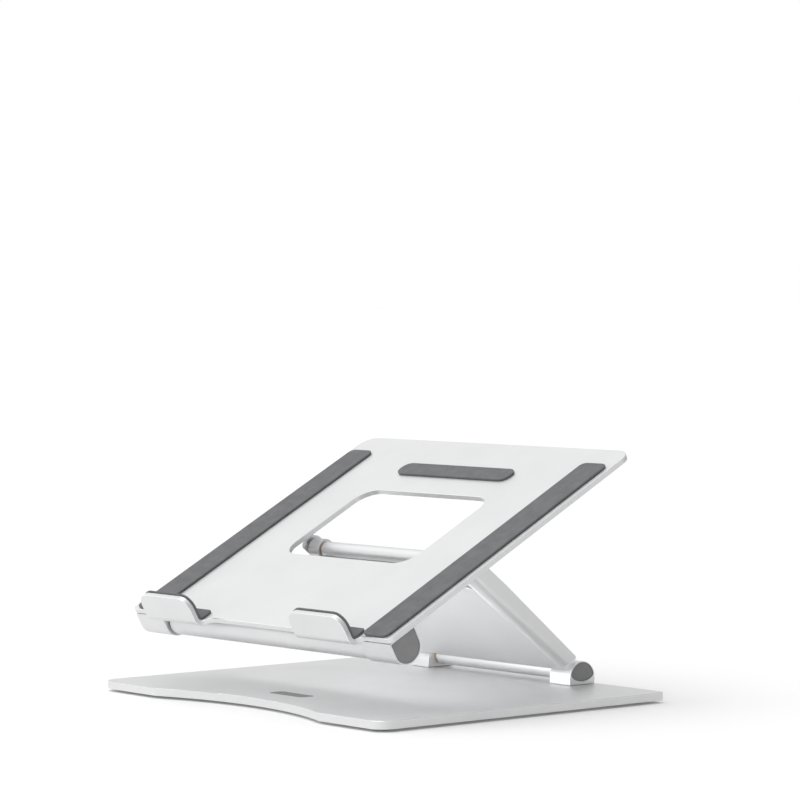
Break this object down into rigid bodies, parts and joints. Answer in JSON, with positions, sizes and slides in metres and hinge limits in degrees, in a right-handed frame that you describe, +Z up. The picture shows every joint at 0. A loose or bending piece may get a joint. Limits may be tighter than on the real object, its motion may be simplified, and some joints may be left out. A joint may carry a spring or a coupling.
{
  "type": "folding laptop stand",
  "caption": "Folding aluminium laptop stand with a flat base, a two-section friction-hinged arm and a tilted tray with padded front hooks.",
  "frame": {"origin": "on the surface the stand rests on, under the middle of its bounding box", "axes": "+X to the stand's right, +Y to its rear, +Z up"},
  "size_m": [0.25, 0.206, 0.1402],
  "materials": {
    "aluminium": "sand-blasted and anodised, satin silver",
    "end_caps": "dark grey moulded plastic, fine texture",
    "badge": "blank dark grey inlay",
    "pads": "matt grey silicone",
    "feet": "matt black rubber",
    "hardware": "zinc-plated steel",
    "friction_washers": "bronze friction washer"
  },
  "bodies": {
    "base": {"base_plate": "aluminium", "base_badge": "badge", "base_foot_front_left": "feet", "base_foot_front_right": "feet", "base_foot_rear_left": "feet", "base_foot_rear_right": "feet", "lower_hinge_block_left": "aluminium", "lower_hinge_block_right": "aluminium", "lower_hinge_cap_left": "end_caps", "lower_hinge_cap_right": "end_caps", "lower_block_screw_left_front": "hardware", "lower_block_screw_left_rear": "hardware", "lower_block_screw_right_front": "hardware", "lower_block_screw_right_rear": "hardware"},
    "lower_arm": {"lower_arm_panel": "aluminium", "lower_arm_barrel": "aluminium", "knee_block_left": "aluminium", "knee_block_right": "aluminium", "lower_shaft_left": "hardware", "lower_shaft_right": "hardware", "lower_friction_washer_left": "friction_washers", "lower_friction_washer_right": "friction_washers", "lower_lock_nut_left": "hardware", "lower_lock_nut_right": "hardware", "knee_block_screw_left_upper": "hardware", "knee_block_screw_left_lower": "hardware", "knee_block_screw_right_upper": "hardware", "knee_block_screw_right_lower": "hardware"},
    "upper_arm": {"upper_arm_panel": "aluminium", "knee_barrel": "aluminium", "front_barrel": "aluminium", "knee_shaft_left": "hardware", "knee_shaft_right": "hardware", "knee_friction_washer_left": "friction_washers", "knee_friction_washer_right": "friction_washers", "knee_lock_nut_left": "hardware", "knee_lock_nut_right": "hardware", "front_shaft_left": "hardware", "front_shaft_right": "hardware", "front_friction_washer_left": "friction_washers", "front_friction_washer_right": "friction_washers", "front_lock_nut_left": "hardware", "front_lock_nut_right": "hardware"},
    "tray": {"tray_plate": "aluminium", "front_hinge_block_left": "aluminium", "front_hinge_block_right": "aluminium", "front_hinge_cap_left": "end_caps", "front_hinge_cap_right": "end_caps", "hook_pad_left": "pads", "hook_pad_right": "pads", "tray_pad_left": "pads", "tray_pad_right": "pads", "tray_pad_rear": "pads", "front_block_screw_left_front": "hardware", "front_block_screw_left_rear": "hardware", "front_block_screw_right_front": "hardware", "front_block_screw_right_rear": "hardware"}
  },
  "joints": [
    {"name": "lower_hinge", "type": "hinge", "parent": "base", "child": "lower_arm", "pos_m": [0, 0.091, 0.0127], "axis": [-1, 0, 0], "range_deg": [-35, 25]},
    {"name": "knee_hinge", "type": "hinge", "parent": "lower_arm", "child": "upper_arm", "pos_m": [0, 0.00401, 0.07969], "axis": [1, 0, 0], "range_deg": [-59.3, 42.4]},
    {"name": "tray_hinge", "type": "hinge", "parent": "upper_arm", "child": "tray", "pos_m": [0, -0.07473, 0.04129], "axis": [1, 0, 0], "range_deg": [-2, 60]}
  ],
  "couplings": [
    {"joint": "knee_hinge", "follows": "lower_hinge", "ratio": 1.6915}
  ]
}
